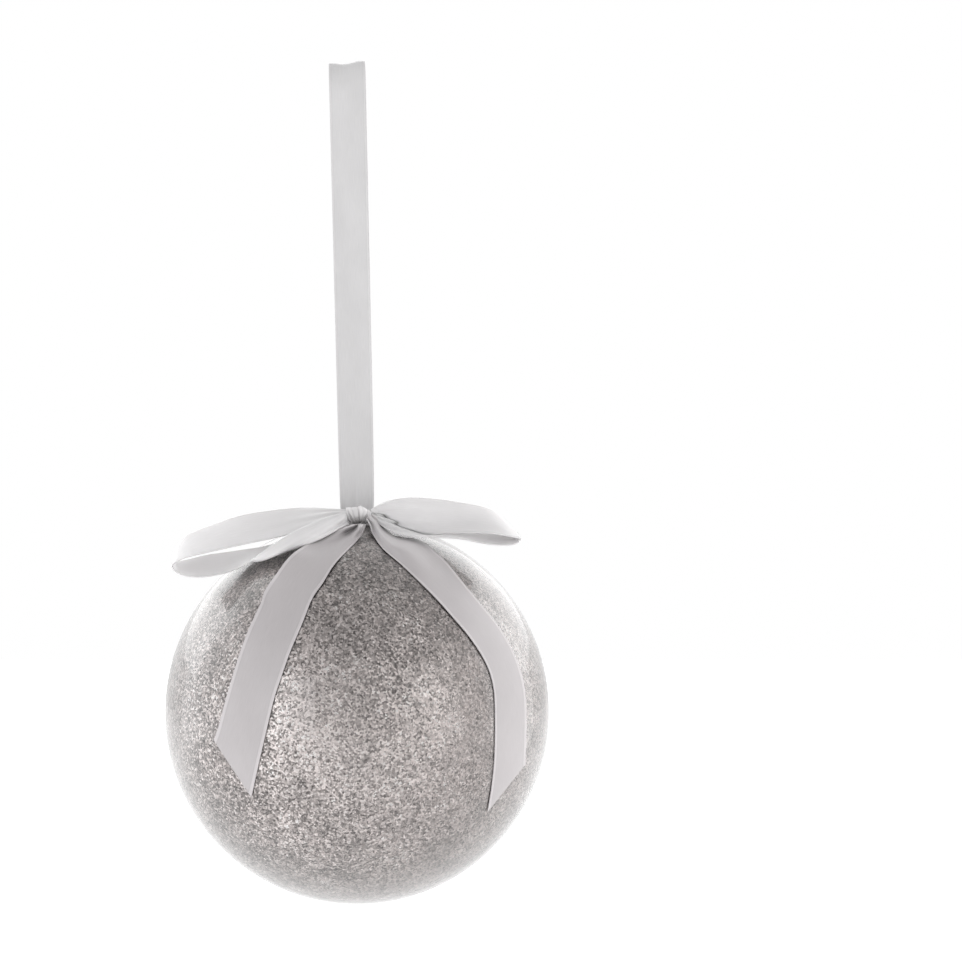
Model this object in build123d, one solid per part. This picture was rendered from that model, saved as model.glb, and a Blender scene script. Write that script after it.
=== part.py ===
from build123d import *
import math
import os

os.makedirs("parts", exist_ok=True)

# Glass ball ornament, hung from a ribbon loop. Millimetres, +Z up, front is -Y.
# The origin is the inside of the top of the hanging loop, where a hook carries it.

# ---- driving dimensions ----
BALL_D = 80.0            # outside diameter of the glass
GLASS_T = 0.6            # wall of the blown glass
HANG_DROP = 135.4        # hook point to the centre of the ball
NECK_HOLE_D = 7.0        # hole at the pole, hidden under the knot
LINING_T = 0.25          # glitter coat on the inside of the glass
CLEAR = 0.05             # clearance between nested pieces of one body

PLUG_SHANK_D = 6.8
PLUG_FLANGE_D = 9.4
PLUG_FLANGE_T = 0.7
PLUG_DEPTH = 4.0
WIRE_D = 0.8
EYE_BORE = 1.7           # inside radius of the wire eye, crosswise
EYE_TOP = 43.2           # top of the eye, from the centre of the ball

RIBBON_W = 7.2           # hanging ribbon
RIBBON_T = 0.35
ARCH_R = 3.0             # inside radius of the arch over the hook
NECK_HALF = 0.95         # half spacing of the two strands at the knot
LEAN = 1.3               # degrees the loop leans

BOW_W = 10.0             # bow ribbon
BOW_T = 0.4
TAIL_LIFT = 0.35         # gap between the glass and a tail

R = BALL_D / 2
CZ = -HANG_DROP


def save(shape, name):
    shape.label = name
    export_step(shape, f"parts/{name}.step")


def ball_at(shape):
    return Pos(0, 0, CZ) * shape


def yz_strip(points, width, x0=0.0):
    # closed outline in the YZ plane, extruded along X, centred on x0
    face = make_face(Polyline(*[(0, y, z) for y, z in points], close=True).edges())
    solid = extrude(face, amount=width / 2, dir=(1, 0, 0), both=True)
    return Pos(x0, 0, 0) * solid


# ---- glass ball, open at the pole ----
hole = Cylinder(NECK_HOLE_D / 2, 12).locate(Pos(0, 0, R))
glass = Sphere(R) - Sphere(R - GLASS_T) - hole
save(ball_at(glass), "glass_ball")

lin_o = R - GLASS_T - CLEAR
lining = Sphere(lin_o) - Sphere(lin_o - LINING_T) - Cylinder(NECK_HOLE_D / 2 + 0.3, 12).locate(Pos(0, 0, R))
save(ball_at(lining), "glitter_lining")

# ---- plug that closes the hole and holds the wire eye ----
seat = math.sqrt(R * R - (PLUG_FLANGE_D / 2) ** 2)
flange_top = R + CLEAR + 0.55
plug = Cylinder(PLUG_SHANK_D / 2, PLUG_DEPTH).locate(Pos(0, 0, R - PLUG_DEPTH / 2))
cap = Cylinder(PLUG_FLANGE_D / 2, flange_top - seat - CLEAR).locate(
    Pos(0, 0, (flange_top + seat + CLEAR) / 2)
) - Sphere(R + CLEAR)
plug = plug + cap
slot = Cylinder(WIRE_D / 2 + CLEAR, 30).locate(Pos(-EYE_BORE - WIRE_D / 2, 0, R)) + Cylinder(
    WIRE_D / 2 + CLEAR, 30
).locate(Pos(EYE_BORE + WIRE_D / 2, 0, R))
plug = plug - slot
save(ball_at(plug), "hanger_plug")

# ---- bent wire eye: a staple with its legs splayed inside the ball ----
leg_x = EYE_BORE + WIRE_D / 2
arc_z = EYE_TOP - WIRE_D / 2 - leg_x
foot_z = R - PLUG_DEPTH - 3.0
eye_path = Wire([
    Line((-leg_x - 2.6, 0, foot_z - 6.0), (-leg_x, 0, foot_z)),
    Line((-leg_x, 0, foot_z), (-leg_x, 0, arc_z)),
    ThreePointArc((-leg_x, 0, arc_z), (0, 0, arc_z + leg_x), (leg_x, 0, arc_z)),
    Line((leg_x, 0, arc_z), (leg_x, 0, foot_z)),
    Line((leg_x, 0, foot_z), (leg_x + 2.6, 0, foot_z - 6.0)),
])
eye_section = Plane(origin=eye_path @ 0, z_dir=eye_path % 0) * Circle(WIRE_D / 2)
eye = sweep(eye_section, path=eye_path, transition=Transition.ROUND)
save(ball_at(eye), "wire_eye")

# ---- hanging ribbon: one strip, split where it twists and bends above the knot ----
Z_ARC = -ARCH_R                      # centre of the arch
Z_PIVOT = CZ + 43.9                  # where the ribbon bends above the eye
Z_N1 = Z_PIVOT + 0.4                 # foot of the neck
Z_N0 = Z_N1 + 0.9                    # top of the neck
Z_S1 = Z_N0 + 0.4                    # foot of the loop


def half(z):
    # inner half spacing of the strands at height z
    k = (Z_ARC - z) / (Z_ARC - Z_S1)
    return ARCH_R + (NECK_HALF - ARCH_R) * min(max(k, 0), 1)


lean = Pos(0, 0, Z_S1) * Rot(0, -LEAN, 0) * Pos(0, 0, -Z_S1)


def strand_pair(z0, z1, width):
    out = None
    for side in (-1, 1):
        a, b = half(z0), half(z1)
        strip = yz_strip(
            [(side * a, z0), (side * (a + RIBBON_T), z0), (side * (b + RIBBON_T), z1), (side * b, z1)],
            width,
        )
        out = strip if out is None else out + strip
    return out


ring = Cylinder(ARCH_R + RIBBON_T, RIBBON_W) - Cylinder(ARCH_R, RIBBON_W + 1)
ring = Pos(0, 0, Z_ARC) * (Rot(0, 90, 0) * ring)
keep_top = Box(RIBBON_W + 2, 20, 10).locate(Pos(0, 0, Z_ARC + 5))
loop_strip = (ring & keep_top) + strand_pair(Z_ARC, Z_S1, RIBBON_W)
save(lean * loop_strip, "hanging_ribbon_loop")

# the two strands gathered into one bundle
save(Box(4.4, 2 * RIBBON_T + 0.1, Z_N0 - Z_N1).locate(Pos(0, 0, (Z_N0 + Z_N1) / 2)), "hanging_ribbon_neck")

# the ribbon's turn under the wire, inside the eye
TUCK_W = 2.0
TUCK_R = 0.5
tuck_c = CZ + 42.55
u_ring = Cylinder(TUCK_R + RIBBON_T, TUCK_W) - Cylinder(TUCK_R, TUCK_W + 1)
u_ring = Pos(0, 0, tuck_c) * (Rot(0, 90, 0) * u_ring)
tuck = u_ring & Box(6, 10, 4).locate(Pos(0, 0, tuck_c - 2))
for side in (-1, 1):
    tuck = tuck + Box(TUCK_W, RIBBON_T, 0.8).locate(Pos(0, side * (TUCK_R + RIBBON_T / 2), tuck_c + 0.4))
save(tuck, "hanging_ribbon_tuck")

# ---- bow knot: sits on the shoulder of the ball just in front of the pole ----
KNOT_TILT = 11.5         # degrees forward of the pole
KNOT_H = 2.9             # along the radius
knot = Box(5.4, 5.2, KNOT_H)
knot = fillet(knot.edges(), 1.15)
knot = Pos(0.5, 0, 0) * (Rot(KNOT_TILT, 0, 0) * (Pos(0, 0, R + 0.45 + KNOT_H / 2) * knot))
save(ball_at(knot), "bow_knot")


# ---- bow loops: closed bands of ribbon, narrow at the knot, resting on the shoulder ----
def smooth(pts, steps=6):
    # points of a Catmull-Rom curve through pts
    out = []
    for i in range(len(pts) - 1):
        p0, p1 = pts[max(i - 1, 0)], pts[i]
        p2, p3 = pts[i + 1], pts[min(i + 2, len(pts) - 1)]
        for j in range(steps):
            t = j / steps
            out.append(tuple(
                0.5 * (2 * p1[k] + (p2[k] - p0[k]) * t + (2 * p0[k] - 5 * p1[k] + 4 * p2[k] - p3[k]) * t * t
                       + (3 * p1[k] - p0[k] - 3 * p2[k] + p3[k]) * t ** 3) for k in (0, 1)))
    return out + [tuple(pts[-1])]


def loop(origin, tip, tilt, ring_pts, root_half, fan_len, cut_r):
    # origin: middle of the gathered root; tip: middle of the far end; tilt: slope of the ribbon's width
    w = Vector(0, -math.cos(math.radians(tilt)), -math.sin(math.radians(tilt)))
    o, t = Vector(*origin), Vector(*tip)
    u = t - o
    u = u - w * u.dot(w)
    length = u.length
    u = u.normalized()
    side = 1 if u.X > 0 else -1
    band_plane = Plane(origin=o, x_dir=u, z_dir=w * -side)
    outer = smooth([(s_ * length, k) for s_, k in ring_pts])
    inner = []
    for i in range(len(outer)):
        p0, p1 = outer[max(i - 1, 0)], outer[min(i + 1, len(outer) - 1)]
        dx, dy = p1[0] - p0[0], p1[1] - p0[1]
        m = math.hypot(dx, dy)
        inner.append((outer[i][0] + dy / m * BOW_T, outer[i][1] - dx / m * BOW_T))
    outline = band_plane * make_face(Polyline(*outer, *reversed(inner), close=True).edges())
    band = extrude(outline, amount=BOW_W / 2, dir=w, both=True)
    n = Vector(0, -math.sin(math.radians(tilt)), math.cos(math.radians(tilt)))
    fan_plane = Plane(origin=o, x_dir=u, z_dir=n)
    fan_pts = [(0, -root_half), (fan_len, -BOW_W / 2 - 0.01), (length + 6, -BOW_W / 2 - 0.01),
               (length + 6, BOW_W / 2 + 0.01), (fan_len, BOW_W / 2 + 0.01), (0, root_half)]
    fan = extrude(fan_plane * make_face(Polyline(*fan_pts, close=True).edges()), amount=20, both=True)
    band = (band & fan) - Sphere(cut_r)
    solids = sorted(band.solids(), key=lambda s_: s_.volume)
    return solids[-1]


# fractions along the loop and offsets across it, outer face of the band, from the top of the root round to its underside
LEFT_RING = [(0.0, 1.0), (0.12, 2.0), (0.35, 3.6), (0.6, 4.2), (0.85, 3.6), (1.0, 0.8), (0.93, -2.2), (0.7, -2.9), (0.4, -2.5), (0.12, -1.5), (0.0, -1.0)]
left_loop = loop((-3.1, -9.6, 41.0), (-38.2, -14.0, 31.6), 30.0, LEFT_RING, 2.2, 9.0, R + 0.5)
save(ball_at(left_loop), "bow_left_loop")

RIGHT_RING = [(0.0, 1.0), (0.12, 2.2), (0.35, 3.3), (0.6, 3.2), (0.82, 2.5), (0.95, 1.5), (1.0, 0.2), (0.96, -1.0), (0.86, -1.7), (0.65, -1.9), (0.4, -1.7), (0.12, -1.2), (0.0, -1.0)]
right_loop = loop((4.1, -9.4, 41.2), (34.0, -12.5, 37.6), 46.0, RIGHT_RING, 2.2, 9.0, R + 0.5)
save(ball_at(right_loop), "bow_right_loop")


# ---- bow tails: lie along the glass, cut on the slant ----
def tail(edge, cut_r0):
    with BuildSketch(Plane.XZ) as sk:
        with BuildLine():
            Polyline(*edge, close=True)
        make_face()
    prism = extrude(sk.sketch, amount=60)
    shell = Sphere(cut_r0 + BOW_T) - Sphere(cut_r0)
    piece = shell & prism
    solids = sorted(piece.solids(), key=lambda s_: s_.volume)
    return solids[-1]


RIGHT_EDGE = [
    (3.6, 36.9), (5.8, 34.2), (9.3, 31.25), (12.9, 28.0), (16.6, 24.3), (19.3, 21.4), (23.7, 16.2),
    (26.9, 10.9), (28.3, 6.1), (28.6, 0.1), (28.5, -7.9), (27.9, -14.0), (27.1, -19.2),
    (29.25, -16.3), (31.7, -13.5), (34.2, -10.4), (34.7, -9.2), (34.9, -2.3), (34.8, 3.8),
    (34.0, 8.6), (32.2, 13.5), (29.3, 18.3), (26.1, 22.4), (22.1, 27.2), (18.4, 31.2), (15.0, 33.4),
    (11.5, 34.9), (8.0, 36.2), (6.0, 37.2),
]
LEFT_EDGE = [
    (0.9, 37.2), (0.0, 35.6), (-3.8, 31.4), (-6.2, 27.5), (-8.3, 24.3), (-10.4, 19.0), (-12.5, 14.0),
    (-14.2, 9.0), (-15.7, 4.7), (-16.7, 0.4), (-18.0, -5.1), (-19.2, -9.8), (-20.6, -15.8),
    (-21.3, -14.7), (-23.1, -12.6), (-25.7, -8.6), (-28.3, -4.4), (-27.3, -1.8), (-26.0, 3.0),
    (-24.6, 8.0), (-22.8, 13.8), (-21.1, 18.4), (-19.0, 23.1), (-18.1, 25.7), (-15.9, 28.6),
    (-12.6, 30.9), (-9.0, 32.9), (-4.6, 35.4), (-1.6, 37.0),
]
save(ball_at(tail(RIGHT_EDGE, R + TAIL_LIFT)), "bow_right_tail")
save(ball_at(tail(LEFT_EDGE, R + TAIL_LIFT)), "bow_left_tail")
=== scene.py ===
import math

import bmesh
import bpy
import numpy as np
from mathutils import Matrix, Vector


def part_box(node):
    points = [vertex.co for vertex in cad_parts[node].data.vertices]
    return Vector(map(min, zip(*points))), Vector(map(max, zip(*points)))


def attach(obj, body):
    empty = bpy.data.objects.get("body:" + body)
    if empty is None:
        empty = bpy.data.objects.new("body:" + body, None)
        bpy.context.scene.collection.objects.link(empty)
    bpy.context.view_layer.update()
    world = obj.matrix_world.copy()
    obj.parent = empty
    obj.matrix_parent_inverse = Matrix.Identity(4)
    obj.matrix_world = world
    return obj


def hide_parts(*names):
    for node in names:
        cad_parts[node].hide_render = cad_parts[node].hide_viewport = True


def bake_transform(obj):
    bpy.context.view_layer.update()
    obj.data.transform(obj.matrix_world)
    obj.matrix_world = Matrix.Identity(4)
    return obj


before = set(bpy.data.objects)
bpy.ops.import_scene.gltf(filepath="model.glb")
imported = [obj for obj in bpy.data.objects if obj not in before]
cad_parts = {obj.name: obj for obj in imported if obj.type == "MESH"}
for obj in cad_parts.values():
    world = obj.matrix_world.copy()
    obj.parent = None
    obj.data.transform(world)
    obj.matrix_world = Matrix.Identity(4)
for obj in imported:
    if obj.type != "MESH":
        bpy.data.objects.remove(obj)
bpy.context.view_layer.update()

MM = 0.001
lo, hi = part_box("glass_ball")
R = round((hi[0] - lo[0]) / 2 / MM, 1)                 # glass radius, mm
CZ = round((hi[0] + lo[0]) / 2 / MM + lo[2] / MM + R, 1)   # height of the ball's centre, mm
scene = bpy.context.scene
scene.view_settings.view_transform = "Standard"
scene.view_settings.look = "None"
scene.view_settings.exposure = 0.0
scene.view_settings.gamma = 1.0

# ------------------------------------------------------------------ camera
CAM = np.array([25.79, -1000.0, 48.10])      # mm, from the centre of the ball
VIEW = 200.625                               # width of the view at the ball, mm
cam_data = bpy.data.cameras.new("camera")
cam = bpy.data.objects.new("camera", cam_data)
scene.collection.objects.link(cam)
cam.location = ((CAM[0]) * MM, CAM[1] * MM, (CAM[2] + CZ) * MM)
cam.rotation_euler = (math.radians(90), 0, 0)
cam_data.sensor_width = 36.0
cam_data.lens = 36.0 * 1000.0 / VIEW
cam_data.clip_start, cam_data.clip_end = 0.05, 50.0
scene.camera = cam


def at_y(x, z, y):
    """The point at depth y on the sight line through (x, z) of the plane through the ball's centre, all in mm."""
    k = (y - CAM[1]) / 1000.0
    return np.array([CAM[0] + (x - CAM[0]) * k, y, CAM[2] + (z - CAM[2]) * k])


def on_ball(x, z, radius):
    """The near point of a sphere round the ball's centre on the sight line through (x, z)."""
    d = at_y(x, z, 0.0) - CAM
    d /= np.linalg.norm(d)
    b, c = CAM @ d, CAM @ CAM - radius * radius
    disc = b * b - c
    if disc < 0:
        p = CAM - b * d
        return p / np.linalg.norm(p) * radius
    return CAM + (-b - math.sqrt(disc)) * d


def clear_ball(p, radius):
    """Moves a point along its sight line towards the camera until it is clear of the glass."""
    if np.linalg.norm(p) >= radius:
        return p
    d = p - CAM
    d /= np.linalg.norm(d)
    b, c = CAM @ d, CAM @ CAM - radius * radius
    disc = b * b - c
    if disc < 0:
        return p / np.linalg.norm(p) * radius
    return CAM + (-b - math.sqrt(disc)) * d


# ------------------------------------------------------------------ mesh helpers
def catmull(pts, t):
    """Points of a Catmull-Rom curve through pts (n, k) at parameters t in 0..n-1."""
    pts = np.asarray(pts, float)
    n = len(pts)
    ext = np.vstack([2 * pts[0] - pts[1], pts, 2 * pts[-1] - pts[-2]])
    t = np.clip(np.asarray(t, float), 0, n - 1 - 1e-9)
    i = np.floor(t).astype(int)
    f = (t - i)[:, None]
    p0, p1, p2, p3 = ext[i], ext[i + 1], ext[i + 2], ext[i + 3]
    return 0.5 * (2 * p1 + (p2 - p0) * f + (2 * p0 - 5 * p1 + 4 * p2 - p3) * f ** 2
                  + (3 * p1 - p0 - 3 * p2 + p3) * f ** 3)


def even(pts, n, dense=40):
    """The curve through pts, resampled to n points evenly along its length."""
    pts = np.asarray(pts, float)
    c = catmull(pts, np.linspace(0, len(pts) - 1, len(pts) * dense))
    s = np.concatenate([[0], np.cumsum(np.linalg.norm(np.diff(c, axis=0), axis=1))])
    u = np.linspace(0, s[-1], n)
    return np.stack([np.interp(u, s, c[:, k]) for k in range(c.shape[1])], 1)


def grid_normals(g):
    du = np.gradient(g, axis=1)
    dv = np.gradient(g, axis=0)
    n = np.cross(du, dv)
    return n / np.maximum(np.linalg.norm(n, axis=2, keepdims=True), 1e-9)


def band(name, g, thick, material=None, rows=None, caps=(True, True)):
    """A strip of ribbon from a grid of points (along, across, 3) in mm from the ball's centre.
    rows picks part of the grid; an end with no cap meets the next piece of the same strip."""
    g = np.asarray(g, float)
    n = grid_normals(g)
    seg = np.linalg.norm(np.diff(g, axis=0), axis=2).mean(1)
    s = np.concatenate([[0], np.cumsum(seg)])
    if rows:
        g, n, s = g[rows[0]:rows[1]], n[rows[0]:rows[1]], s[rows[0]:rows[1]]
    nv, nu = g.shape[:2]
    top = g + n * thick / 2
    bot = g - n * thick / 2
    co = np.concatenate([top.reshape(-1, 3), bot.reshape(-1, 3)]) + np.array([0, 0, CZ])
    idx = np.arange(nv * nu).reshape(nv, nu)
    off = nv * nu
    faces = []
    for i in range(nv - 1):
        for j in range(nu - 1):
            a, b, c, d = idx[i, j], idx[i, j + 1], idx[i + 1, j + 1], idx[i + 1, j]
            faces.append((a, b, c, d))
            faces.append((a + off, d + off, c + off, b + off))
    for i in range(nv - 1):
        a, d = idx[i, 0], idx[i + 1, 0]
        faces.append((a, d, d + off, a + off))
        a, d = idx[i, -1], idx[i + 1, -1]
        faces.append((d, a, a + off, d + off))
    for j in range(nu - 1):
        if caps[0]:
            a, b = idx[0, j], idx[0, j + 1]
            faces.append((b, a, a + off, b + off))
        if caps[1]:
            a, b = idx[-1, j], idx[-1, j + 1]
            faces.append((a, b, b + off, a + off))
    me = bpy.data.meshes.new(name)
    me.from_pydata((co * MM).tolist(), [], faces)
    uvs = np.zeros((nv * nu * 2, 2))
    u = np.linspace(0, 1, nu)
    for i in range(nv):
        for j in range(nu):
            uvs[idx[i, j]] = uvs[idx[i, j] + off] = (u[j], s[i] / 10.0)
    layer = me.uv_layers.new(name="UVMap")
    loops = np.zeros(len(me.loops), np.int32)
    me.loops.foreach_get("vertex_index", loops)
    layer.data.foreach_set("uv", uvs[loops].astype(np.float32).ravel())
    me.polygons.foreach_set("use_smooth", [True] * len(me.polygons))
    me.validate()
    bm = bmesh.new()
    bm.from_mesh(me)
    bmesh.ops.recalc_face_normals(bm, faces=bm.faces)
    for e in bm.edges:
        if len(e.link_faces) == 2 and e.calc_face_angle(0) > math.radians(60):
            e.smooth = False
    bm.to_mesh(me)
    bm.free()
    if not all(caps):
        flat = np.concatenate([n.reshape(-1, 3), -n.reshape(-1, 3)])
        wanted = []
        for poly in me.polygons:
            vs = list(poly.vertices)
            face = np.array(poly.normal[:])
            for v in vs:
                d = flat[v]
                wanted.append(tuple(d if abs(float(d @ face)) > 0.6 else face))
        me.normals_split_custom_set(wanted)
    ob = bpy.data.objects.new(name, me)
    scene.collection.objects.link(ob)
    if material:
        me.materials.append(material)
    return ob


def net(stations, nv, nu, clear=None, relief=None):
    """A ribbon surface through stations. Each is (F, B) or (F, M, B), every point (x, z, depth) for at_y."""
    rows = []
    for st in stations:
        pts = [at_y(*p) for p in st]
        if clear:
            pts = [clear_ball(p, clear) for p in pts]
        if len(pts) == 2:
            pts = [pts[0], (pts[0] + pts[1]) / 2, pts[1]]
        rows.append(pts)
    rows = np.array(rows)                                  # (n, 3, 3)
    mid = rows[:, 1]
    # station parameters, spaced evenly along the middle
    dense = np.linspace(0, len(rows) - 1, len(rows) * 40)
    c = catmull(mid, dense)
    s = np.concatenate([[0], np.cumsum(np.linalg.norm(np.diff(c, axis=0), axis=1))])
    t = np.interp(np.linspace(0, s[-1], nv), s, dense)
    F, M, B = (catmull(rows[:, k], t) for k in range(3))
    u = np.linspace(0, 1, nu)[None, :, None]
    lf = (u - 0.5) * (u - 1) / 0.5
    lm = u * (1 - u) / 0.25
    lb = u * (u - 0.5) / 0.5
    g = F[:, None] * lf + M[:, None] * lm + B[:, None] * lb
    if relief is not None:
        v = np.linspace(0, 1, nv)[:, None]
        g = g + grid_normals(g) * relief(v, np.linspace(0, 1, nu)[None, :])[:, :, None]
    if clear:
        flat = g.reshape(-1, 3)
        r = np.linalg.norm(flat, axis=1)
        for i in np.where(r < clear)[0]:
            flat[i] = clear_ball(flat[i], clear)
        g = flat.reshape(g.shape)
    return g


def rnd(seed):
    return np.random.RandomState(seed)


# ------------------------------------------------------------------ materials
def new_mat(name):
    m = bpy.data.materials.new(name)
    m.use_nodes = True
    nt = m.node_tree
    nt.nodes.clear()
    out = nt.nodes.new("ShaderNodeOutputMaterial")
    return m, nt, out


def satin(name, colour, rough=0.38, through=0.0018, lighter=0.12, painted_shade_min=0.5, edge=(0.448, 0.465)):
    m, nt, out = new_mat(name)
    N, L = nt.nodes.new, nt.links.new
    bsdf = N("ShaderNodeBsdfPrincipled")
    bsdf.inputs["Roughness"].default_value = rough
    bsdf.inputs["Anisotropic"].default_value = 0.55
    bsdf.inputs["Specular IOR Level"].default_value = 0.45
    bsdf.inputs["Sheen Weight"].default_value = 0.10
    bsdf.inputs["Sheen Roughness"].default_value = 0.35
    if through:                              # thin satin lets some light through
        bsdf.inputs["Subsurface Weight"].default_value = 1.0
        bsdf.inputs["Subsurface Radius"].default_value = (1.0, 1.0, 1.0)
        bsdf.inputs["Subsurface Scale"].default_value = through
    uv = N("ShaderNodeUVMap")
    uv.uv_map = "UVMap"
    tan = N("ShaderNodeTangent")
    tan.direction_type = "UV_MAP"
    tan.uv_map = "UVMap"
    L(tan.outputs[0], bsdf.inputs["Tangent"])
    # long satin floats along the ribbon
    mp = N("ShaderNodeMapping")
    mp.inputs["Scale"].default_value = (90.0, 3.5, 1.0)
    L(uv.outputs[0], mp.inputs[0])
    fine = N("ShaderNodeTexNoise")
    fine.inputs["Scale"].default_value = 1.0
    fine.inputs["Detail"].default_value = 3.0
    L(mp.outputs[0], fine.inputs["Vector"])
    # weft: faint cross lines
    mp2 = N("ShaderNodeMapping")
    mp2.inputs["Scale"].default_value = (1.0, 60.0, 1.0)
    L(uv.outputs[0], mp2.inputs[0])
    weft = N("ShaderNodeTexNoise")
    weft.inputs["Scale"].default_value = 2.0
    weft.inputs["Detail"].default_value = 2.0
    L(mp2.outputs[0], weft.inputs["Vector"])
    # soft cloudiness of handled satin
    mp3 = N("ShaderNodeMapping")
    mp3.inputs["Scale"].default_value = (1.2, 0.9, 1.0)
    L(uv.outputs[0], mp3.inputs[0])
    cloud = N("ShaderNodeTexNoise")
    cloud.inputs["Scale"].default_value = 1.0
    cloud.inputs["Detail"].default_value = 2.0
    L(mp3.outputs[0], cloud.inputs["Vector"])
    # distance from the nearest edge, for the selvedge
    sep = N("ShaderNodeSeparateXYZ")
    L(uv.outputs[0], sep.inputs[0])
    half = N("ShaderNodeMath")
    half.operation = "SUBTRACT"
    L(sep.outputs["X"], half.inputs[0])
    half.inputs[1].default_value = 0.5
    ab = N("ShaderNodeMath")
    ab.operation = "ABSOLUTE"
    L(half.outputs[0], ab.inputs[0])
    selv = N("ShaderNodeMapRange")
    selv.inputs["From Min"].default_value = edge[0]
    selv.inputs["From Max"].default_value = edge[1]
    L(ab.outputs[0], selv.inputs["Value"])
    line = N("ShaderNodeMapRange")          # faint groove beside the selvedge
    line.interpolation_type = "SMOOTHSTEP"
    line.inputs["From Min"].default_value = 0.009
    line.inputs["From Max"].default_value = 0.0
    dl = N("ShaderNodeMath")
    dl.operation = "SUBTRACT"
    L(ab.outputs[0], dl.inputs[0])
    dl.inputs[1].default_value = edge[0] - 0.008
    dla = N("ShaderNodeMath")
    dla.operation = "ABSOLUTE"
    L(dl.outputs[0], dla.inputs[0])
    L(dla.outputs[0], line.inputs["Value"])
    # colour
    ramp = N("ShaderNodeMapRange")
    ramp.inputs["From Min"].default_value = 0.3
    ramp.inputs["From Max"].default_value = 0.7
    ramp.inputs["To Min"].default_value = 0.955
    ramp.inputs["To Max"].default_value = 1.03
    L(fine.outputs[0], ramp.inputs["Value"])
    ramp2 = N("ShaderNodeMapRange")
    ramp2.inputs["From Min"].default_value = 0.3
    ramp2.inputs["From Max"].default_value = 0.7
    ramp2.inputs["To Min"].default_value = 0.965
    ramp2.inputs["To Max"].default_value = 1.025
    L(cloud.outputs[0], ramp2.inputs["Value"])
    mul = N("ShaderNodeMath")
    mul.operation = "MULTIPLY"
    L(ramp.outputs[0], mul.inputs[0])
    L(ramp2.outputs[0], mul.inputs[1])
    add = N("ShaderNodeMath")
    add.operation = "MULTIPLY_ADD"
    L(selv.outputs[0], add.inputs[0])
    add.inputs[1].default_value = lighter
    L(mul.outputs[0], add.inputs[2])
    sub = N("ShaderNodeMath")
    sub.operation = "MULTIPLY_ADD"
    L(line.outputs[0], sub.inputs[0])
    sub.inputs[1].default_value = -0.085
    L(add.outputs[0], sub.inputs[2])
    # painted shade: ambient occlusion darkens the base colour in folds and under the gathers, where less light falls
    ao = N("ShaderNodeAmbientOcclusion")
    ao.samples = 8
    ao.inputs["Distance"].default_value = 0.007
    ao_painted_shade = N("ShaderNodeMapRange")
    ao_painted_shade.inputs["From Min"].default_value = 0.15
    ao_painted_shade.inputs["From Max"].default_value = 0.85
    ao_painted_shade.inputs["To Min"].default_value = painted_shade_min
    ao_painted_shade.inputs["To Max"].default_value = 1.0
    L(ao.outputs["AO"], ao_painted_shade.inputs["Value"])
    # the ribbon colour times the painted shade
    fold = N("ShaderNodeMath")
    fold.operation = "MULTIPLY"
    L(sub.outputs[0], fold.inputs[0])
    L(ao_painted_shade.outputs[0], fold.inputs[1])
    scale = N("ShaderNodeVectorMath")
    scale.operation = "SCALE"
    scale.inputs[0].default_value = colour
    L(fold.outputs[0], scale.inputs["Scale"])
    L(scale.outputs[0], bsdf.inputs["Base Color"])
    # relief
    h1 = N("ShaderNodeMath")
    h1.operation = "MULTIPLY_ADD"
    L(weft.outputs[0], h1.inputs[0])
    h1.inputs[1].default_value = 0.35
    L(fine.outputs[0], h1.inputs[2])
    h2 = N("ShaderNodeMath")
    h2.operation = "MULTIPLY_ADD"
    L(selv.outputs[0], h2.inputs[0])
    h2.inputs[1].default_value = 0.8
    L(h1.outputs[0], h2.inputs[2])
    h3 = N("ShaderNodeMath")
    h3.operation = "MULTIPLY_ADD"
    L(line.outputs[0], h3.inputs[0])
    h3.inputs[1].default_value = -0.6
    L(h2.outputs[0], h3.inputs[2])
    bump = N("ShaderNodeBump")
    bump.inputs["Strength"].default_value = 0.25
    bump.inputs["Distance"].default_value = 0.00004
    L(h3.outputs[0], bump.inputs["Height"])
    L(bump.outputs[0], bsdf.inputs["Normal"])
    L(bsdf.outputs[0], out.inputs[0])
    return m


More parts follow.
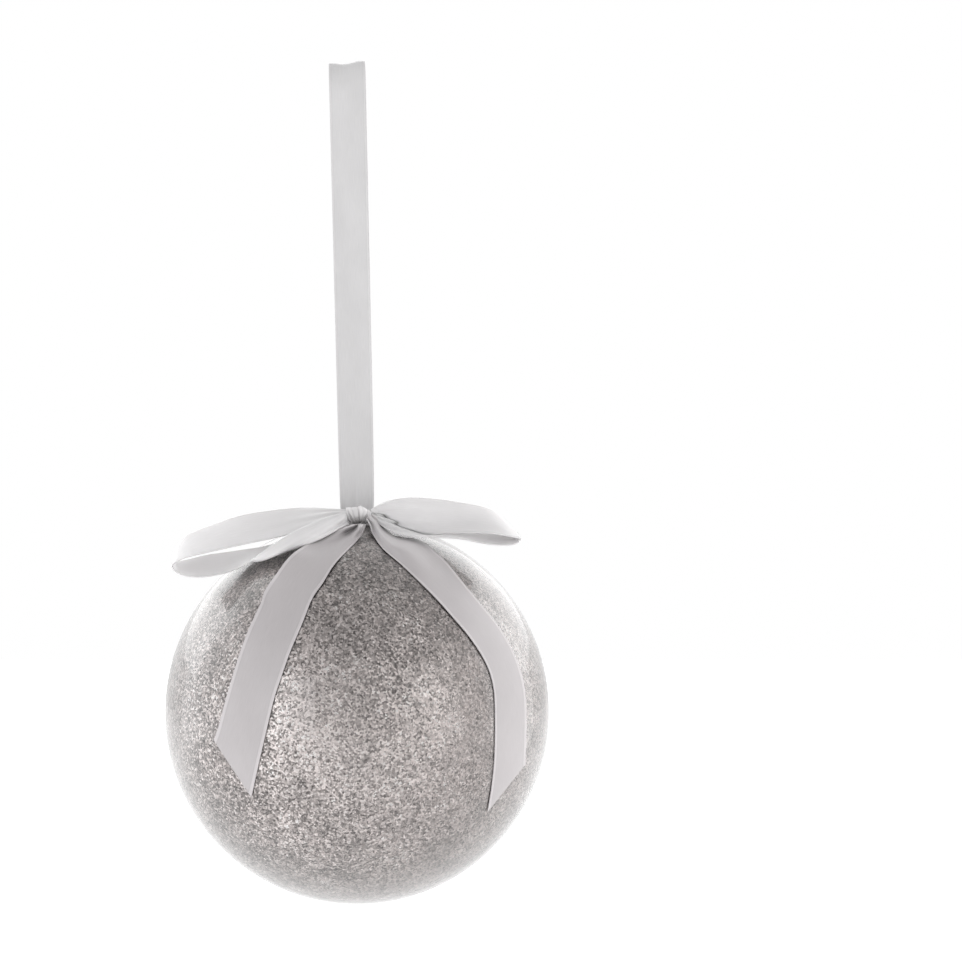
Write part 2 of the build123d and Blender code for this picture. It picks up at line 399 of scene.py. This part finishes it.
def glitter_mat():
    m, nt, out = new_mat("silver_glitter")
    N, L = nt.nodes.new, nt.links.new
    tc = N("ShaderNodeTexCoord")
    wob = N("ShaderNodeTexNoise")
    wob.inputs["Scale"].default_value = 2000.0
    L(tc.outputs["Object"], wob.inputs["Vector"])
    mixv = N("ShaderNodeVectorMath")
    mixv.operation = "MULTIPLY_ADD"
    L(wob.outputs["Color"], mixv.inputs[0])
    mixv.inputs[1].default_value = (0.0002, 0.0002, 0.0002)
    L(tc.outputs["Object"], mixv.inputs[2])
    vor = N("ShaderNodeTexVoronoi")
    vor.feature = "F1"
    vor.inputs["Scale"].default_value = 2750.0
    vor.inputs["Randomness"].default_value = 1.0
    L(mixv.outputs[0], vor.inputs["Vector"])
    sep = N("ShaderNodeSeparateColor")
    L(vor.outputs["Color"], sep.inputs[0])
    # each flake gets a random grey with a warm tint; the tint is the glitter's own, while the dark-to-bright spread is
    # painted glints and painted shade standing in for how the tilted silver flakes catch light
    ramp = N("ShaderNodeValToRGB")
    cr = ramp.color_ramp
    cr.interpolation = "LINEAR"
    cr.elements[0].position, cr.elements[0].color = 0.0, (0.21, 0.190, 0.184, 1)
    cr.elements[1].position, cr.elements[1].color = 1.0, (1.0, 0.95, 0.935, 1)
    for p, c in ((0.24, (0.40, 0.362, 0.352)), (0.52, (0.60, 0.545, 0.532)), (0.80, (0.92, 0.845, 0.825)),
                 (0.93, (1.0, 0.925, 0.905))):
        e = cr.elements.new(p)
        e.color = (*c, 1)
    L(sep.outputs[0], ramp.inputs[0])
    # the coat lies thicker in some places than in others
    patch = N("ShaderNodeTexNoise")
    patch.inputs["Scale"].default_value = 150.0
    patch.inputs["Detail"].default_value = 4.0
    patch.inputs["Roughness"].default_value = 0.62
    L(tc.outputs["Object"], patch.inputs["Vector"])
    dens = N("ShaderNodeMapRange")
    dens.inputs["From Min"].default_value = 0.32
    dens.inputs["From Max"].default_value = 0.68
    dens.inputs["To Min"].default_value = 0.83
    dens.inputs["To Max"].default_value = 1.16
    L(patch.outputs[0], dens.inputs["Value"])
    tone = N("ShaderNodeVectorMath")
    tone.operation = "SCALE"
    L(ramp.outputs[0], tone.inputs[0])
    L(dens.outputs[0], tone.inputs["Scale"])
    bsdf = N("ShaderNodeBsdfPrincipled")
    bsdf.inputs["Metallic"].default_value = 0.55
    bsdf.inputs["Roughness"].default_value = 0.38
    L(tone.outputs[0], bsdf.inputs["Base Color"])
    # each flake's own tilt
    geo = N("ShaderNodeNewGeometry")
    off = N("ShaderNodeVectorMath")
    off.operation = "SUBTRACT"
    L(vor.outputs["Color"], off.inputs[0])
    off.inputs[1].default_value = (0.5, 0.5, 0.5)
    sc = N("ShaderNodeVectorMath")
    sc.operation = "MULTIPLY_ADD"
    L(off.outputs[0], sc.inputs[0])
    sc.inputs[1].default_value = (0.5, 0.5, 0.5)
    L(geo.outputs["Normal"], sc.inputs[2])
    nrm = N("ShaderNodeVectorMath")
    nrm.operation = "NORMALIZE"
    L(sc.outputs[0], nrm.inputs[0])
    L(nrm.outputs[0], bsdf.inputs["Normal"])
    L(bsdf.outputs[0], out.inputs[0])
    return m


def glass_mat():
    m, nt, out = new_mat("clear_glass")
    N, L = nt.nodes.new, nt.links.new
    tr = N("ShaderNodeBsdfTransparent")
    gl = N("ShaderNodeBsdfGlossy")
    gl.inputs["Roughness"].default_value = 0.045
    fr = N("ShaderNodeFresnel")
    fr.inputs["IOR"].default_value = 1.5
    mix = N("ShaderNodeMixShader")
    L(fr.outputs[0], mix.inputs[0])
    L(tr.outputs[0], mix.inputs[1])
    L(gl.outputs[0], mix.inputs[2])
    # the rim of a blown ball looks milky: its reflections there are broad
    lw = N("ShaderNodeLayerWeight")
    lw.inputs["Blend"].default_value = 0.5
    pw = N("ShaderNodeMath")
    pw.operation = "POWER"
    L(lw.outputs["Facing"], pw.inputs[0])
    pw.inputs[1].default_value = 2.1
    amount = N("ShaderNodeMath")
    amount.operation = "MULTIPLY"
    L(pw.outputs[0], amount.inputs[0])
    amount.inputs[1].default_value = 0.46
    broad = N("ShaderNodeBsdfGlossy")
    broad.inputs["Roughness"].default_value = 0.34
    mix2 = N("ShaderNodeMixShader")
    L(amount.outputs[0], mix2.inputs[0])
    L(mix.outputs[0], mix2.inputs[1])
    L(broad.outputs[0], mix2.inputs[2])
    L(mix2.outputs[0], out.inputs[0])
    return m


def simple(name, colour, metallic=0.0, rough=0.5):
    m, nt, out = new_mat(name)
    b = nt.nodes.new("ShaderNodeBsdfPrincipled")
    b.inputs["Base Color"].default_value = (*colour, 1)
    b.inputs["Metallic"].default_value = metallic
    b.inputs["Roughness"].default_value = rough
    nt.links.new(b.outputs[0], out.inputs[0])
    return m


# painted light and shade: the bow is one ribbon, yet its loops and knot get a lighter base colour and its tails, laid
# on the glass, a darker one, standing in for how light falls on each piece
loop_satin_painted_light = satin("bow_satin_open", (0.69, 0.676, 0.682), rough=0.36, through=0.0010, lighter=-0.10, painted_shade_min=0.94, edge=(0.462, 0.476))
tail_satin_painted_shade = satin("bow_satin_laid", (0.482, 0.457, 0.464), rough=0.36, through=0, lighter=0.20, painted_shade_min=0.62, edge=(0.430, 0.446))
knot_satin_painted_light = satin("bow_satin_knot", (0.74, 0.724, 0.73), rough=0.36, through=0.0008, painted_shade_min=0.74)
narrow_satin = satin("narrow_satin", (0.65, 0.642, 0.647), rough=0.42, through=0, lighter=0.05, painted_shade_min=0.97)
glitter = glitter_mat()
glass = glass_mat()
wire_metal = simple("wire_metal", (0.75, 0.75, 0.77), 1.0, 0.22)
plug_plastic = simple("plug_plastic", (0.72, 0.72, 0.72), 0.0, 0.5)


def dress(node, mat):
    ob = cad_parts[node]
    ob.data.materials.clear()
    ob.data.materials.append(mat)
    ob.data.polygons.foreach_set("use_smooth", [True] * len(ob.data.polygons))
    return ob


dress("glass_ball", glass)
dress("hanger_plug", plug_plastic)
dress("wire_eye", wire_metal)

# ------------------------------------------------------------------ glitter lining
def lining():
    bm = bmesh.new()
    bmesh.ops.create_uvsphere(bm, u_segments=160, v_segments=96, radius=(R - 0.14) * MM)
    top = [v for v in bm.verts if v.co.z > (R - 0.35) * MM]
    bmesh.ops.delete(bm, geom=top, context="VERTS")
    me = bpy.data.meshes.new("glitter_coat")
    bm.to_mesh(me)
    bm.free()
    me.transform(Matrix.Translation((0, 0, CZ * MM)))
    me.polygons.foreach_set("use_smooth", [True] * len(me.polygons))
    ob = bpy.data.objects.new("glitter_coat", me)
    scene.collection.objects.link(ob)
    me.materials.append(glitter)
    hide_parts("glitter_lining")
    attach(ob, "ball")
    return ob


lining()

# ------------------------------------------------------------------ hanging ribbon
RW = 7.2                  # width of the narrow ribbon
T = 0.26                  # its thickness as seen at an edge
Z_SEAM = CZ + 45.4        # the loop above turns on the neck below
Z_FOOT = CZ + 41.2        # where it goes under the knot


def lean(z):
    """Sideways place of the ribbon's middle at a height: the loop hangs a little off plumb."""
    return -0.02 - 2.14 * np.clip((z - CZ - 43.3) / (0 - CZ - 43.3), 0, 1)


ROUTE = [(y, z) for y, z in (
    (-2.1, Z_FOOT), (-1.12, CZ + 45.0), (-2.05, -66.0), (-3.02, -20.0), (-3.17, 0.17),
    (3.17, 0.17), (3.02, -20.0), (2.05, -66.0), (1.12, CZ + 45.0), (0.72, Z_FOOT))]


def smooth_line(points):
    """The smooth NURBS line through a route, read back as points in mm."""
    cu = bpy.data.curves.new("route", "CURVE")
    cu.dimensions = "3D"
    cu.resolution_u = 64
    sp = cu.splines.new("NURBS")
    sp.points.add(len(points) - 1)
    for q, p in zip(sp.points, points):
        q.co = (p[0] * MM, p[1] * MM, p[2] * MM, 1)
    sp.order_u = 3
    sp.use_endpoint_u = True
    ob = bpy.data.objects.new("route", cu)
    me = bpy.data.meshes.new_from_object(ob)
    out = np.array([v.co[:] for v in me.vertices]) / MM
    bpy.data.objects.remove(ob)
    bpy.data.curves.remove(cu)
    bpy.data.meshes.remove(me)
    return out


def ribbon_rows():
    """The whole strip: from under the knot up the front, over the arch and down the back to under the knot."""
    line = smooth_line([(lean(z), y, z) for y, z in ROUTE])
    s = np.concatenate([[0], np.cumsum(np.linalg.norm(np.diff(line, axis=0), axis=1))])
    # rows are closest together at the arch and at the neck
    at = np.linspace(0, s[-1], 4001)
    z = np.interp(at, s, line[:, 2])
    need = np.where((z > -7) | (z < Z_SEAM + 2), 1 / 0.35, 1 / 1.5)
    c = np.concatenate([[0], np.cumsum((need[1:] + need[:-1]) / 2 * np.diff(at))])
    n = int(c[-1]) + 1
    at = np.interp(np.linspace(0, c[-1], n), c, at)
    line = np.stack([np.interp(at, s, line[:, k]) for k in range(3)], 1)
    u = np.linspace(-0.5, 0.5, 23)
    sag = 0.62 * (1 - 1 / (1 + np.exp(-(u - 0.18) / 0.045))) + 0.22 * np.exp(-((u + 0.12) / 0.13) ** 2)
    rows = []
    for x, y, z in line:
        side = float(np.clip(y / 2.0, -1, 1))
        k = np.clip((z - CZ - 43.3) / (0 - CZ - 43.3), 0, 1)          # 0 at the knot, 1 at the top
        foot = np.clip((Z_SEAM - z) / (Z_SEAM - Z_FOOT), 0, 1)
        p = np.zeros((len(u), 3))
        p[:, 0] = x + u * RW * (0.975 + 0.025 * np.clip(k / 0.12, 0, 1) + 0.045 * k) * (1 - 0.07 * foot ** 3)
        # slow waves of limp satin, and a crease near the knot
        p[:, 1] = y + side * 0.16 * np.sin(u * 5.0 + 1.3 + z * 0.05) * np.sin(k * 3.1)
        p[:, 1] += 0.32 * np.exp(-((u + 0.03) / 0.07) ** 2) * np.exp(-k / 0.05) + side * 0.2 * foot * np.cos(u * 26)
        w = np.clip((z + 9) / 6, 0, 1) ** 2
        p[:, 2] = z - CZ - sag * w * (0.75 - 0.25 * side)
        rows.append(p)
    rows, z = np.array(rows), line[:, 2]
    foot = int(np.argmax(z > Z_SEAM))
    back = n - 1 - int(np.argmax(z[::-1] > Z_SEAM))
    return rows, foot, back, line


strip, seam_f, seam_b, ribbon_line = ribbon_rows()
loop_ribbon = band("ribbon_loop", strip, T, material=narrow_satin, rows=(seam_f, seam_b + 1), caps=(False, False))
neck_f = band("ribbon_neck_front", strip, T, material=narrow_satin, rows=(0, seam_f + 1), caps=(True, False))
neck_b = band("ribbon_neck_back", strip, T, material=narrow_satin, rows=(seam_b, len(strip)), caps=(False, True))
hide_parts("hanging_ribbon_loop")
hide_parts("hanging_ribbon_neck")
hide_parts("hanging_ribbon_tuck")
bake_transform(loop_ribbon)
for ob in (neck_f, neck_b):
    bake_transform(ob)

# ------------------------------------------------------------------ bow
BT = 0.24
LEFT = [
    ((-2.57, 40.7, -9.6), (-1.74, 41.95, -7.6)),
    ((-4.66, 40.28, -11.0), (-4.03, 42.3, -6.4)),
    ((-7.58, 39.24, -12.6), (-7.37, 42.55, -5.6)),
    ((-11.54, 37.88, -14.0), (-11.96, 42.57, -6.0)),
    ((-17.17, 36.36, -15.0), (-17.8, 41.93, -6.8)),
    ((-23.43, 35.04, -15.5), (-24.47, 40.76, -7.6)),
    ((-29.68, 33.63, -15.5), (-30.94, 38.51, -7.0)),
    ((-33.44, 32.75, -15.0), (-35.52, 36.63, -6.2)),
    ((-36.78, 31.73, -14.6), (-38.07, 33.71, -5.6)),
    ((-38.69, 30.16, -14.4), (-38.34, 31.62, -5.4)),
    ((-36.36, 28.5, -14.8), (-36.15, 31.42, -5.8)),
    ((-31.56, 28.23, -15.8), (-31.77, 32.46, -7.4)),
    ((-25.1, 29.83, -17.4), (-25.1, 33.46, -8.6)),
    ((-19.88, 33.19, -20.2), (-19.88, 31.46, -18.6), (-19.05, 34.5, -10.5)),
    ((-14.46, 36.94, -19.6), (-14.46, 33.5, -22.2), (-13.63, 35.8, -11.5)),
    ((-8.2, 39.92, -15.4), (-9.04, 35.59, -20.0), (-7.37, 37.88, -11.0)),
    ((-4.24, 41.34, -12.0), (-4.87, 37.67, -15.8), (-3.62, 39.34, -10.0)),
    ((-2.36, 41.63, -9.8), (-1.95, 39.13, -11.2), (-1.53, 40.38, -8.4)),
]
RIGHT = [
    ((3.06, 40.91, -9.8), (2.85, 42.09, -8.0)),
    ((4.62, 39.65, -11.4), (4.31, 42.93, -6.6)),
    ((6.39, 38.19, -13.0), (6.39, 43.89, -6.4)),
    ((9.11, 36.94, -14.4), (9.11, 44.53, -6.8)),
    ((13.07, 36.59, -14.6), (12.23, 44.72, -7.5)),
    ((18.28, 37.05, -14.2), (16.82, 44.37, -8.0)),
    ((23.5, 37.3, -15.0), (21.83, 43.55, -7.6)),
    ((28.08, 37.17, -15.2), (26.62, 42.51, -6.6)),
    ((31.21, 36.73, -15.2), (29.54, 40.97, -6.0)),
    ((33.3, 36.36, -14.8), (31.84, 38.61, -5.4)),
    ((34.26, 36, -14.6), (33.19, 37.36, -5.2)),
    ((33.51, 35.09, -14.9), (32.46, 37.46, -5.3)),
    ((31.42, 34.63, -15.3), (30.38, 38.19, -6.0)),
    ((27.25, 34.92, -15.6), (26.62, 38.4, -7.0)),
    ((21.41, 36.09, -15.8), (20.78, 39.13, -7.2)),
    ((15.57, 36.42, -15.8), (14.74, 39.45, -7.2)),
    ((10.98, 36.53, -16.4), (10.15, 40.07, -8.6)),
    ((7.23, 37.57, -15.2), (6.81, 40.91, -9.2)),
    ((4.31, 39.45, -12.4), (3.89, 41.32, -9.0)),
    ((3.06, 40.38, -10.4), (2.85, 41.43, -8.4)),
]


def pleats(rows, seed, n=5, amp=0.35, reach=0.12, both=True):
    """Gathers that fan out from the knot and fade along the ribbon."""
    rs = rnd(seed)
    ph = rs.rand(4) * 6.28

    def f(v, u):
        d = v if not both else np.minimum(v, 1 - v)
        fade = np.exp(-(d / reach) ** 1.3)
        wave = np.sin(u * n * 6.28 + ph[0] + v * 9) * 0.6 + np.sin(u * (n - 2) * 6.28 + ph[1]) * 0.4
        slow = 0.10 * np.sin(v * 11 + ph[2] + u * 3.0)
        return amp * fade * wave * np.clip(d / 0.03, 0.25, 1) + slow * np.clip(d / 0.1, 0, 1)
    return f


left_near = pleats(None, 3, 3, 0.30, 0.10)


def left_relief(v, u):
    """Gathers at both ends, and longer soft folds along the lower strand, which is pulled in under the knot."""
    strand = np.exp(-((1 - v) / 0.21) ** 2) * np.clip((1 - v) / 0.03, 0.25, 1)
    folds = 0.26 * np.sin(u * 13.5 + 2.0 + v * 10) + 0.16 * np.sin(u * 23 + v * 17)
    return left_near(v, u) + strand * folds


left_g = net(LEFT, 220, 33, clear=R + 0.35, relief=left_relief)
left = band("bow_loop_left", left_g, BT, material=loop_satin_painted_light)
right_g = net(RIGHT, 220, 33, clear=R + 0.35, relief=pleats(None, 7, 3, 0.34, 0.12))
right = band("bow_loop_right", right_g, BT, material=loop_satin_painted_light)

RT_IN = [
    (1.91, 40.28), (2.7, 38.82), (3.37, 36.82), (5.35, 33.94), (8.94, 30.83), (12.53, 27.47),
    (16.36, 23.66), (19.12, 20.59), (23.64, 15.23), (26.94, 9.87), (28.4, 4.93), (28.71, -1.26),
    (28.58, -9.5), (27.98, -15.7), (27.15, -20.85),
]
RT_OUT = [
    (3.16, 41.11), (4.83, 39.76), (6.19, 37.88), (8.4, 36.21), (11.3, 36.11), (14.07, 35.15),
    (15.99, 33.46), (18.39, 31.31), (22.1, 26.77), (26.23, 21.82), (29.52, 17.69), (32.4, 12.75),
    (34.26, 7.81), (35.09, 2.87), (35.22, -3.33), (35.01, -10.92),
]
LT_IN = [
    (1.81, 39.03), (1.08, 37.46), (-0.3, 35.42), (-4.57, 30.96), (-7.18, 26.85), (-9.43, 23.51),
    (-11.67, 17.92), (-13.9, 12.71), (-15.75, 7.5), (-17.25, 3.03), (-18.36, -1.45), (-19.67, -7.04),
    (-20.78, -11.88), (-22.09, -17.82),
]
LT_OUT = [
    (-0.7, 39.03), (-2.99, 38.19), (-5.2, 37.3), (-10.16, 35), (-13.98, 32.46), (-16.9, 28.66),
    (-19.26, 25.16), (-20.22, 22.39), (-22.47, 17.55), (-24.32, 12.71), (-26.18, 6.74), (-27.68, 1.53),
    (-28.98, -3.31), (-29.91, -5.91),
]


def tail_grid(outer, inner, nv, nu, lift, bulge):
    """A tail lying on the glass between two outlines; lift(v, u) in mm off the glass, bulge(v, u) extra relief."""
    A, B = even(outer, nv), even(inner, nv)
    g = np.zeros((nv, nu, 3))
    us = np.linspace(0, 1, nu)
    for i in range(nv):
        v = i / (nv - 1)
        for j, u in enumerate(us):
            p = A[i] * (1 - u) + B[i] * u
            g[i, j] = on_ball(p[0], p[1], R + 0.13 + lift(v, u) + bulge(v, u))
    return g


def rt_lift(v, u):
    root = math.exp(-(v / 0.045) ** 2)
    edge = 0.06 + 0.5 * math.sin(v * 9.0 + 1.0) * (0.5 - u) * 0.8
    return 2.2 * root + max(0.0, edge) * min(1, v * 6) * (1 - 0.4 * v)


def rt_bulge(v, u):
    # a rounded shoulder where the ribbon leaves the knot and turns down onto the glass
    hump = 1.5 * math.exp(-((v - 0.14) / 0.09) ** 2) * math.sin(math.pi * min(1, max(0, 0.02 + 0.98 * (1 - u)))) ** 1.2
    fold = 0.17 * math.exp(-(v / 0.10) ** 2) * math.sin(u * 12 + 1.0)
    return hump + fold


def lt_lift(v, u):
    root = math.exp(-(v / 0.045) ** 2)
    outer = 1.7 * math.exp(-((v - 0.45) / 0.33) ** 2) * (1 - u) ** 1.3
    return 2.0 * root + 0.05 * min(1, v * 6) + outer


def lt_bulge(v, u):
    # the ribbon arches off the glass below the knot, then lies down again
    c = 0.20 + 0.06 * (1 - u)
    crest = 2.9 * math.exp(-((v - c) / (0.065 if v < c else 0.12)) ** 2) * (0.10 + 0.90 * (1 - u) ** 1.1)
    fold = 0.4 * math.exp(-(v / 0.10) ** 2) * math.sin(u * 11 + 0.4)
    return crest + fold


rtail_g = tail_grid(RT_OUT, RT_IN, 190, 33, rt_lift, rt_bulge)
rtail = band("bow_tail_right", rtail_g, 0.19, material=tail_satin_painted_shade)
ltail_g = tail_grid(LT_OUT, LT_IN, 190, 33, lt_lift, lt_bulge)
ltail = band("bow_tail_left", ltail_g, 0.19, material=tail_satin_painted_shade)


# knot: a wrap of pleated ribbon
def knot_grid():
    nv, nu = 96, 56
    g = np.zeros((nv, nu, 3))
    # the wrap runs over the front from top to bottom and round the back; u is across it, along X
    for i in range(nv):
        a = 2 * math.pi * i / (nv - 1)
        up = math.sin(a)
        for j in range(nu):
            u = j / (nu - 1)
            x = (u - 0.5) * 2
            pinch = 1 - 0.26 * abs(x) ** 2.6
            ry, rz = 2.15 * pinch, 1.72 * pinch
            front = 0.35 + 0.65 * max(0.0, math.cos(a - 0.3))
            groove = 0.0
            # folds slant: each crosses the wrap from upper left to lower right
            for c, slant, w, d in ((-0.66, 0.30, 0.085, 0.46), (-0.34, 0.22, 0.05, 0.18), (0.05, 0.10, 0.06, 0.36),
                                   (0.30, -0.06, 0.04, 0.12), (0.60, -0.22, 0.075, 0.34), (0.82, -0.12, 0.05, 0.15)):
                cc = c - slant * up
                groove -= d * math.exp(-((x - cc) / w) ** 2) * front
            # rolled crests between the folds
            groove += 0.20 * math.exp(-((x + 0.84 + 0.2 * up) / 0.16) ** 2)
            groove += 0.16 * math.exp(-((x - 0.22) / 0.12) ** 2)
            groove += 0.06 * math.sin(x * 7 + a * 2)
            X = 0.56 + x * 2.45 - 0.30 * up * (0.4 + 0.6 * abs(x)) + 0.12 * math.sin(2 * a + x)
            Y = -math.cos(a) * (ry + groove)
            Z = up * (rz + groove * 0.8) + 0.14 * math.sin(x * 5.3 + 0.6) - 0.10 * x
            g[i, j] = (X, Y, Z)
    t = math.radians(14)
    rot = np.array([[1, 0, 0], [0, math.cos(t), -math.sin(t)], [0, math.sin(t), math.cos(t)]])
    g = g @ rot.T
    return g + np.array([0, -8.6, 41.05])


def knot_obj():
    g = knot_grid()
    nv, nu = g.shape[:2]
    co = (g.reshape(-1, 3) + np.array([0, 0, CZ])) * MM
    idx = np.arange(nv * nu).reshape(nv, nu)
    faces = []
    for i in range(nv - 1):
        ii = (i + 1) % (nv - 1)
        for j in range(nu - 1):
            faces.append((idx[i, j], idx[i, j + 1], idx[ii, j + 1], idx[ii, j]))
    faces.append([int(idx[i, 0]) for i in range(nv - 1)])
    faces.append([int(idx[i, -1]) for i in range(nv - 2, -1, -1)])
    me = bpy.data.meshes.new("bow_knot_wrap")
    me.from_pydata(co.tolist(), [], faces)
    layer = me.uv_layers.new(name="UVMap")
    loops = np.zeros(len(me.loops), np.int32)
    me.loops.foreach_get("vertex_index", loops)
    uv = np.zeros((nv * nu, 2))
    for i in range(nv):
        uv[idx[i], 0] = 0.1 + 0.8 * np.linspace(0, 1, nu)
        uv[idx[i], 1] = i / nv * 1.3
    layer.data.foreach_set("uv", uv[loops].astype(np.float32).ravel())
    me.polygons.foreach_set("use_smooth", [True] * len(me.polygons))
    bm = bmesh.new()
    bm.from_mesh(me)
    bmesh.ops.recalc_face_normals(bm, faces=bm.faces)
    bm.to_mesh(me)
    bm.free()
    ob = bpy.data.objects.new("bow_knot_wrap", me)
    scene.collection.objects.link(ob)
    me.materials.append(knot_satin_painted_light)
    return ob


knot = knot_obj()
for ob, node in ((left, "bow_left_loop"), (right, "bow_right_loop"), (rtail, "bow_right_tail"), (ltail, "bow_left_tail"), (knot, "bow_knot")):
    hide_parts(node)
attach(knot, "ball")


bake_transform(left)
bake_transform(right)
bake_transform(ltail)
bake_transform(rtail)

# ------------------------------------------------------------------ studio
WORLD_FRONT, WORLD_LOW, WORLD_TOP = 0.68, 0.98, 0.70
world = bpy.data.worlds.new("studio")
scene.world = world
world.use_nodes = True
wn = world.node_tree
wn.nodes.clear()
wout = wn.nodes.new("ShaderNodeOutputWorld")
bg = wn.nodes.new("ShaderNodeBackground")
wtc = wn.nodes.new("ShaderNodeTexCoord")
wsep = wn.nodes.new("ShaderNodeSeparateXYZ")
wn.links.new(wtc.outputs["Generated"], wsep.inputs[0])


def wrange(sock, a, b, lo, hi):
    n = wn.nodes.new("ShaderNodeMapRange")
    n.interpolation_type = "SMOOTHSTEP"
    n.inputs["From Min"].default_value = a
    n.inputs["From Max"].default_value = b
    n.inputs["To Min"].default_value = lo
    n.inputs["To Max"].default_value = hi
    wn.links.new(sock, n.inputs["Value"])
    return n.outputs[0]


wmul = wn.nodes.new("ShaderNodeMath")
wmul.operation = "MULTIPLY"
wn.links.new(wrange(wsep.outputs["Y"], -0.95, -0.35, WORLD_FRONT, 1.0), wmul.inputs[0])
wn.links.new(wrange(wsep.outputs["Z"], -0.75, 0.05, WORLD_LOW, 1.0), wmul.inputs[1])
wmul2 = wn.nodes.new("ShaderNodeMath")
wmul2.operation = "MULTIPLY"
wn.links.new(wmul.outputs[0], wmul2.inputs[0])
wn.links.new(wrange(wsep.outputs["Z"], 0.25, 0.85, 1.0, WORLD_TOP), wmul2.inputs[1])
# the camera's side is darkest above the lens
wdim = wn.nodes.new("ShaderNodeMath")
wdim.operation = "MULTIPLY"
wn.links.new(wrange(wsep.outputs["Z"], 0.0, 0.55, 0.0, 1.0), wdim.inputs[0])
wn.links.new(wrange(wsep.outputs["Y"], -0.6, 0.1, 0.10, 0.0), wdim.inputs[1])
winv = wn.nodes.new("ShaderNodeMath")
winv.operation = "SUBTRACT"
winv.inputs[0].default_value = 1.0
wn.links.new(wdim.outputs[0], winv.inputs[1])
wmul3 = wn.nodes.new("ShaderNodeMath")
wmul3.operation = "MULTIPLY"
wn.links.new(wmul2.outputs[0], wmul3.inputs[0])
wn.links.new(winv.outputs[0], wmul3.inputs[1])
wn.links.new(wmul3.outputs[0], bg.inputs["Strength"])
bg.inputs["Color"].default_value = (1, 1, 1, 1)
wn.links.new(bg.outputs[0], wout.inputs[0])


def plane(name, size, loc, rot, mat):
    me = bpy.data.meshes.new(name)
    a, b = size[0] / 2, size[1] / 2
    me.from_pydata([(-a, -b, 0), (a, -b, 0), (a, b, 0), (-a, b, 0)], [], [(0, 1, 2, 3)])
    me.materials.append(mat)
    ob = bpy.data.objects.new(name, me)
    ob.location = loc
    ob.rotation_euler = rot
    scene.collection.objects.link(ob)
    return ob


def glow(name, colour, strength, diffuse=0.8):
    m, nt, out = new_mat(name)
    b = nt.nodes.new("ShaderNodeBsdfPrincipled")
    b.inputs["Base Color"].default_value = (diffuse, diffuse, diffuse, 1)
    b.inputs["Roughness"].default_value = 0.9
    b.inputs["Specular IOR Level"].default_value = 0.0
    b.inputs["Emission Color"].default_value = (*colour, 1)
    b.inputs["Emission Strength"].default_value = strength
    nt.links.new(b.outputs[0], out.inputs[0])
    return m


# painted light: the floor glows as a light of its own, dimmer within about half a metre of the place under the
# ornament and brighter far off
floor_mat = glow("floor_white", (1, 1, 1), 0.62, 0.85)
fn = floor_mat.node_tree
ftc = fn.nodes.new("ShaderNodeTexCoord")
flen = fn.nodes.new("ShaderNodeVectorMath")
flen.operation = "LENGTH"
fsub = fn.nodes.new("ShaderNodeVectorMath")
fsub.operation = "SUBTRACT"
fsub.inputs[1].default_value = (0, -3.4, 0)          # the ornament hangs over this place
fn.links.new(ftc.outputs["Object"], fsub.inputs[0])
fn.links.new(fsub.outputs[0], flen.inputs[0])
fr = fn.nodes.new("ShaderNodeMapRange")
fr.interpolation_type = "SMOOTHSTEP"
fr.inputs["From Min"].default_value = 0.5
fr.inputs["From Max"].default_value = 2.4
fr.inputs["To Min"].default_value = 0.27
fr.inputs["To Max"].default_value = 0.70
fn.links.new(flen.outputs["Value"], fr.inputs["Value"])
fem = next(n for n in fn.nodes if n.type == "BSDF_PRINCIPLED")
fn.links.new(fr.outputs[0], fem.inputs["Emission Strength"])
floor = plane("floor", (9, 9), (0, 3.4, -0.42), (0, 0, 0), floor_mat)

ball_c = Vector((0, 0, CZ * MM))


def panel(name, az, el, dist, wide, tall, radiance, colour=(1, 1, 1)):
    """A soft box seen from the ball at azimuth az (0 is the camera, + is right) and elevation el, wide by tall degrees."""
    a, e = math.radians(az), math.radians(el)
    d = Vector((math.sin(a) * math.cos(e), -math.cos(a) * math.cos(e), math.sin(e)))
    w, h = 2 * dist * math.tan(math.radians(wide / 2)), 2 * dist * math.tan(math.radians(tall / 2))
    light = bpy.data.lights.new(name, "AREA")
    light.shape = "RECTANGLE"
    light.size, light.size_y = w, h
    light.energy = radiance * math.pi * w * h
    light.color = colour
    ob = bpy.data.objects.new(name, light)
    ob.location = ball_c + d * dist
    ob.rotation_euler = (-d).to_track_quat("-Z", "Y").to_euler()
    scene.collection.objects.link(ob)
    return ob


panel("soft_front_left", -37, -12, 1.5, 28, 68, 1.52, (0.985, 0.99, 1.0))
panel("soft_front_right", 48, -8, 1.5, 38, 74, 0.74, (1.0, 0.985, 0.97))
panel("soft_left", -104, 0, 1.5, 46, 74, 0.86, (0.97, 0.985, 1.0))
panel("soft_right", 108, 0, 1.5, 46, 74, 1.12)
panel("soft_back_left", 218, 33, 1.6, 58, 46, 1.16)
panel("soft_back_right", 142, 33, 1.6, 54, 46, 1.16)
